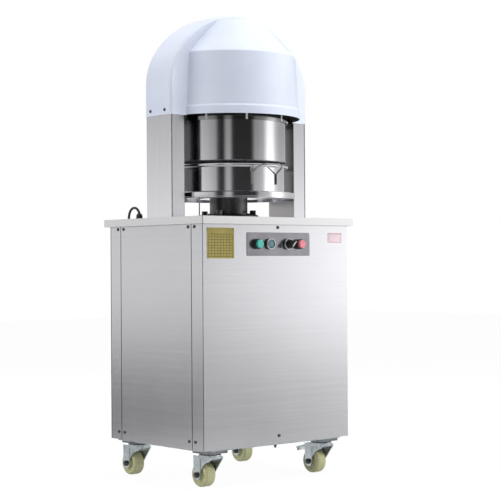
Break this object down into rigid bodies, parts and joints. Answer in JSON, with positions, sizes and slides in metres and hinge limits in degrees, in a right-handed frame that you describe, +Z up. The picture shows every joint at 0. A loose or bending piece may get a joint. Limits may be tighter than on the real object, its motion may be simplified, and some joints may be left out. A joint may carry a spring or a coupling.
{
  "type": "dough divider",
  "caption": "Floor-standing dough divider: a stainless cabinet on casters, a round pan lifted by a ram into a sleeve of knives under a white domed hood.",
  "frame": {"origin": "on the floor, on the axis of the ram, pan and sleeve, in the middle of the cabinet", "axes": "+Z up, -Y out of the front panel with the controls, +X to the right of someone facing it"},
  "size_m": [0.62, 0.5484, 1.4589],
  "materials": {
    "brushed_stainless": "brushed stainless sheet",
    "mirror_stainless": "mirror-polished stainless",
    "hood_white": "satin white enamel",
    "black_iron": "black oxide",
    "frame_paint": "dark grey paint",
    "zinc_plate": "bright zinc plating",
    "machined_steel": "machined steel",
    "cast_aluminium": "machined aluminium",
    "bronze": "cast bronze",
    "white_nylon": "natural nylon",
    "green_nylon": "pale yellow-green nylon",
    "plate_grey": "grey anodised sheet",
    "black_plastic": "black moulded plastic",
    "green_plastic": "green moulded plastic",
    "red_plastic": "red moulded plastic",
    "teal_lens": "teal lens",
    "black_rubber": "black rubber"
  },
  "bodies": {
    "stand": {"corner_strips": "brushed_stainless", "left_panel": "brushed_stainless", "right_panel": "brushed_stainless", "front_panel": "brushed_stainless", "rear_panel": "brushed_stainless", "deck": "brushed_stainless", "left_post": "brushed_stainless", "right_post": "brushed_stainless", "post_covers": "brushed_stainless", "knives": "mirror_stainless", "hood": "hood_white", "ram_guide": "black_iron", "guide_bolts": "black_iron", "chassis_frame": "frame_paint", "crossbeam": "frame_paint", "guide_ring": "frame_paint", "screw_bearing": "frame_paint", "motor": "frame_paint", "base_plate": "zinc_plate", "cover_screws": "zinc_plate", "caster_plates": "zinc_plate", "tie_rods": "machined_steel", "press_springs": "machined_steel", "knife_carrier": "cast_aluminium", "guide_slippers": "white_nylon", "control_plate": "plate_grey", "button_bodies": "black_plastic", "plug": "black_plastic", "cord_gland": "black_plastic", "control_box": "black_plastic", "limit_switches": "black_plastic", "lamp_lens": "teal_lens", "drive_belt": "black_rubber", "power_cord": "black_rubber", "cord_coil": "black_rubber"},
    "lift": {"platform": "mirror_stainless", "dough_pan": "mirror_stainless", "pan_handle": "mirror_stainless", "ram": "black_iron", "lift_nut": "bronze", "limit_rod": "machined_steel"},
    "sleeve": {"pressing_sleeve": "mirror_stainless"},
    "press": {"press_carrier": "cast_aluminium", "press_pads": "cast_aluminium"},
    "screw": {"lift_screw": "machined_steel", "screw_pulley": "machined_steel"},
    "motor_rotor": {"motor_pulley": "machined_steel"},
    "start": {"start_button": "green_plastic"},
    "stop": {"stop_button": "red_plastic"},
    "selector": {"selector_knob": "black_plastic"},
    "caster_front_left": {"caster_fork_front_left": "zinc_plate"},
    "wheel_front_left": {"caster_wheel_front_left": "green_nylon"},
    "caster_front_right": {"caster_fork_front_right": "zinc_plate"},
    "wheel_front_right": {"caster_wheel_front_right": "green_nylon"},
    "pedal_front_right": {"brake_pedal_front_right": "zinc_plate"},
    "caster_rear_left": {"caster_fork_rear_left": "zinc_plate"},
    "wheel_rear_left": {"caster_wheel_rear_left": "green_nylon"},
    "caster_rear_right": {"caster_fork_rear_right": "zinc_plate"},
    "wheel_rear_right": {"caster_wheel_rear_right": "green_nylon"},
    "pedal_rear_right": {"brake_pedal_rear_right": "zinc_plate"}
  },
  "joints": [
    {"name": "screw_turn", "type": "hinge", "parent": "stand", "child": "screw", "pos_m": [0, 0, 0.45], "axis": [0, 0, 1], "range_deg": [0, 2834]},
    {"name": "lift_slide", "type": "slide", "parent": "stand", "child": "lift", "axis": [0, 0, 1], "range_m": [0, 0.0945]},
    {"name": "sleeve_slide", "type": "slide", "parent": "stand", "child": "sleeve", "axis": [0, 0, 1], "range_m": [0, 0.085]},
    {"name": "motor_turn", "type": "hinge", "parent": "stand", "child": "motor_rotor", "pos_m": [-0.17, 0.06, 0.45], "axis": [0, 0, 1], "range_deg": [0, 7715.8]},
    {"name": "press_slide", "type": "slide", "parent": "stand", "child": "press", "axis": [0, 0, 1], "range_m": [0, 0.085], "stiffness_N_per_m": 3000, "springref_m": -0.05, "deforming": ["press_springs"]},
    {"name": "start_push", "type": "slide", "parent": "stand", "child": "start", "axis": [0, 1, 0], "range_m": [0, 0.004], "stiffness_N_per_m": 800, "springref_m": -0.003},
    {"name": "stop_push", "type": "slide", "parent": "stand", "child": "stop", "axis": [0, 1, 0], "range_m": [0, 0.004], "stiffness_N_per_m": 800, "springref_m": -0.003},
    {"name": "selector_turn", "type": "hinge", "parent": "stand", "child": "selector", "pos_m": [0.0375, -0.2385, 0.7315], "axis": [0, -1, 0], "range_deg": [0, 90]},
    {"name": "swivel_front_left", "type": "hinge", "parent": "stand", "child": "caster_front_left", "pos_m": [-0.228, -0.181, 0.1], "axis": [0, 0, 1], "continuous": true},
    {"name": "roll_front_left", "type": "hinge", "parent": "caster_front_left", "child": "wheel_front_left", "pos_m": [-0.228, -0.15, 0.0375], "axis": [1, 0, 0], "continuous": true},
    {"name": "swivel_front_right", "type": "hinge", "parent": "stand", "child": "caster_front_right", "pos_m": [0.228, -0.181, 0.1], "axis": [0, 0, 1], "continuous": true},
    {"name": "roll_front_right", "type": "hinge", "parent": "caster_front_right", "child": "wheel_front_right", "pos_m": [0.228, -0.15, 0.0375], "axis": [1, 0, 0], "continuous": true},
    {"name": "brake_front_right", "type": "hinge", "parent": "caster_front_right", "child": "pedal_front_right", "pos_m": [0.228, -0.139, 0.0898], "axis": [-1, 0, 0], "range_deg": [0, 10]},
    {"name": "swivel_rear_left", "type": "hinge", "parent": "stand", "child": "caster_rear_left", "pos_m": [-0.228, 0.181, 0.1], "axis": [0, 0, 1], "continuous": true},
    {"name": "roll_rear_left", "type": "hinge", "parent": "caster_rear_left", "child": "wheel_rear_left", "pos_m": [-0.228, 0.212, 0.0375], "axis": [1, 0, 0], "continuous": true},
    {"name": "swivel_rear_right", "type": "hinge", "parent": "stand", "child": "caster_rear_right", "pos_m": [0.228, 0.181, 0.1], "axis": [0, 0, 1], "continuous": true},
    {"name": "roll_rear_right", "type": "hinge", "parent": "caster_rear_right", "child": "wheel_rear_right", "pos_m": [0.228, 0.212, 0.0375], "axis": [1, 0, 0], "continuous": true},
    {"name": "brake_rear_right", "type": "hinge", "parent": "caster_rear_right", "child": "pedal_rear_right", "pos_m": [0.228, 0.223, 0.0898], "axis": [-1, 0, 0], "range_deg": [0, 10]}
  ],
  "couplings": [
    {"joint": "lift_slide", "follows": "screw_turn", "m_per_rad": 0.0019099},
    {"joint": "sleeve_slide", "follows": "screw_turn", "m_per_rad": 0.0017179},
    {"joint": "motor_turn", "follows": "screw_turn", "ratio": 2.7222}
  ]
}
